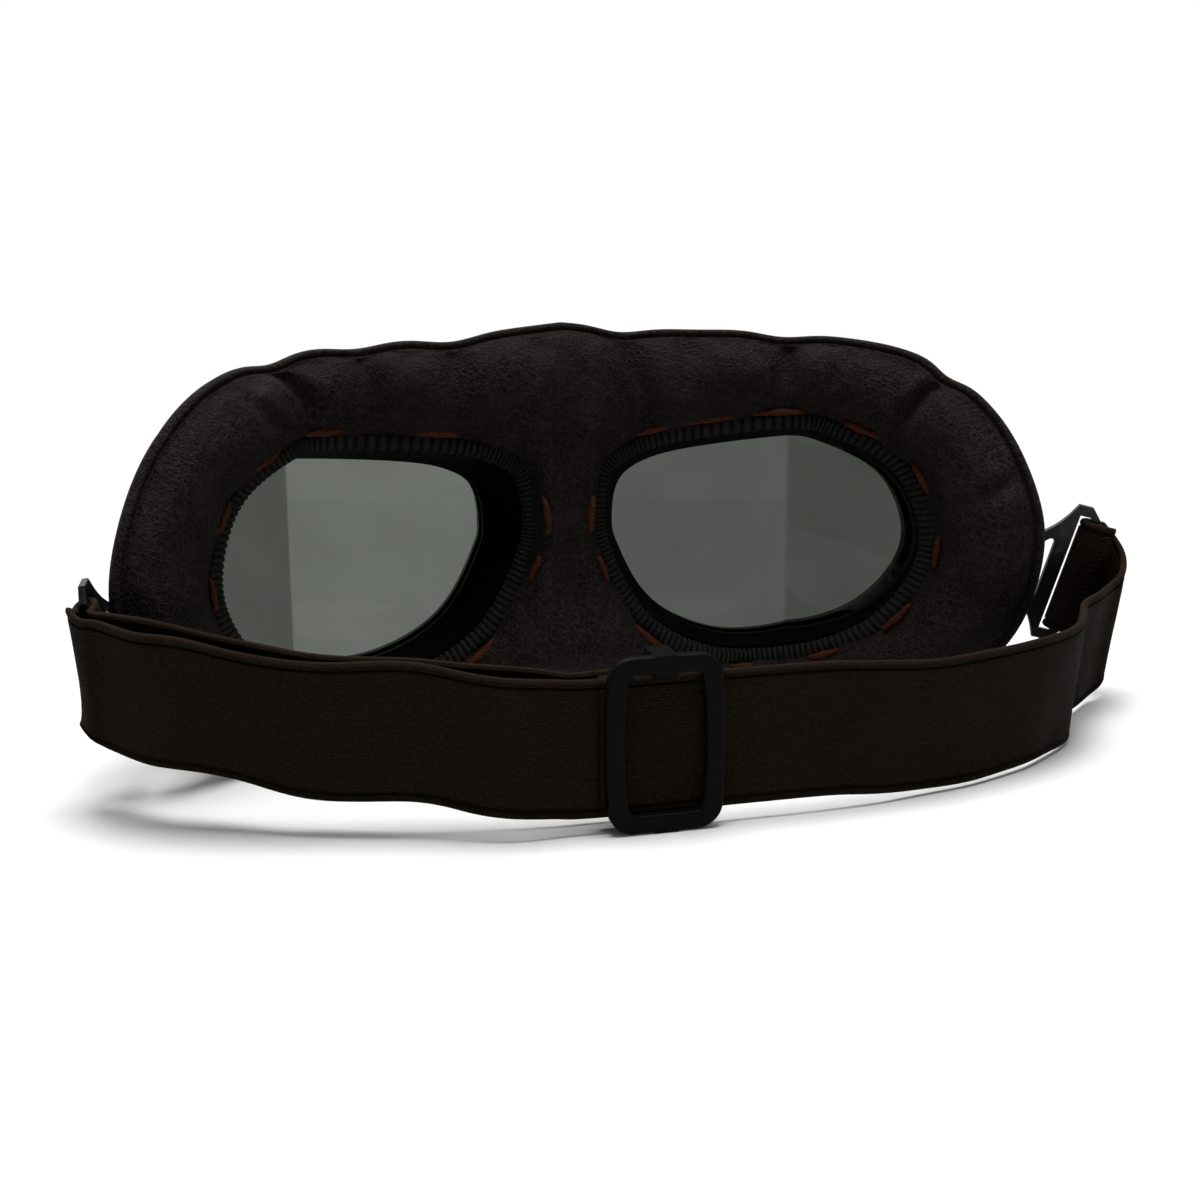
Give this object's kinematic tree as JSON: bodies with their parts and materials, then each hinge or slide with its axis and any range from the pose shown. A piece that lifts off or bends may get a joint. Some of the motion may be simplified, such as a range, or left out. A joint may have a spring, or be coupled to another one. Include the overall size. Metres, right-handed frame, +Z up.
{
  "type": "steampunk goggles",
  "caption": "Padded leatherette goggles with folded smoke lenses in thin rims, hinged strap brackets and an elastic head strap with a sliding adjuster.",
  "frame": {"origin": "on the middle surface of the mask between the eyes, level with the middle of the mask's height, over the bridge of the wearer's nose", "axes": "+X to the wearer's left, -Y to the front the lenses face, +Y towards the wearer and the strap, +Z up"},
  "size_m": [0.2331, 0.1005, 0.088],
  "materials": {
    "lens_smoke": "smoke tinted, polished",
    "frame_black": "black, satin",
    "bracket_black": "black, satin",
    "fastener_steel": "darkened steel",
    "gasket_rubber": "matt",
    "eyecup_black": "black, satin",
    "mask_leatherette": "soft sheen, fine grain",
    "foam": "open foam",
    "thread_black": "twisted thread",
    "thread_rust": "thick waxed thread",
    "strap_elastic": "knitted elastic webbing",
    "slider_black": "black, satin"
  },
  "bodies": {
    "goggles": {"lens_left": "lens_smoke", "lens_gasket_left": "gasket_rubber", "rim_left": "frame_black", "rim_screws_left": "fastener_steel", "eyecup_left": "eyecup_black", "hinge_pin_left": "fastener_steel", "foam_pad_left": "foam", "overlock_left": "thread_black", "lacing_left": "thread_rust", "strap_run_left": "strap_elastic", "lens_right": "lens_smoke", "lens_gasket_right": "gasket_rubber", "rim_right": "frame_black", "rim_screws_right": "fastener_steel", "eyecup_right": "eyecup_black", "hinge_pin_right": "fastener_steel", "foam_pad_right": "foam", "overlock_right": "thread_black", "lacing_right": "thread_rust", "strap_run_right": "strap_elastic", "nose_bridge": "frame_black", "bridge_screws": "fastener_steel", "mask_lining": "mask_leatherette", "mask_cover": "mask_leatherette", "strap_return_left": "strap_elastic"},
    "left_bracket": {"strap_bracket_left": "bracket_black", "strap_end_left": "strap_elastic"},
    "right_bracket": {"strap_bracket_right": "bracket_black", "strap_end_right": "strap_elastic", "strap_tack_right": "thread_black"},
    "slider": {"strap_slider": "slider_black", "strap_end_slider": "strap_elastic"}
  },
  "joints": [
    {"name": "left_bracket_hinge", "type": "hinge", "parent": "goggles", "child": "left_bracket", "pos_m": [0.09388, 0.01085, -0.0085], "axis": [0.224, 0.1879, 0.9563], "range_deg": [-95, 0], "deforming": ["strap_run_left", "strap_return_left"]},
    {"name": "right_bracket_hinge", "type": "hinge", "parent": "goggles", "child": "right_bracket", "pos_m": [-0.09388, 0.01085, -0.0085], "axis": [0.224, -0.1879, -0.9563], "range_deg": [-32, 58], "deforming": ["strap_run_right"]},
    {"name": "slider_slide", "type": "slide", "parent": "goggles", "child": "slider", "axis": [1, 0, 0], "range_m": [-0.015, 0.015], "deforming": ["strap_run_left", "strap_run_right", "strap_return_left"]}
  ]
}
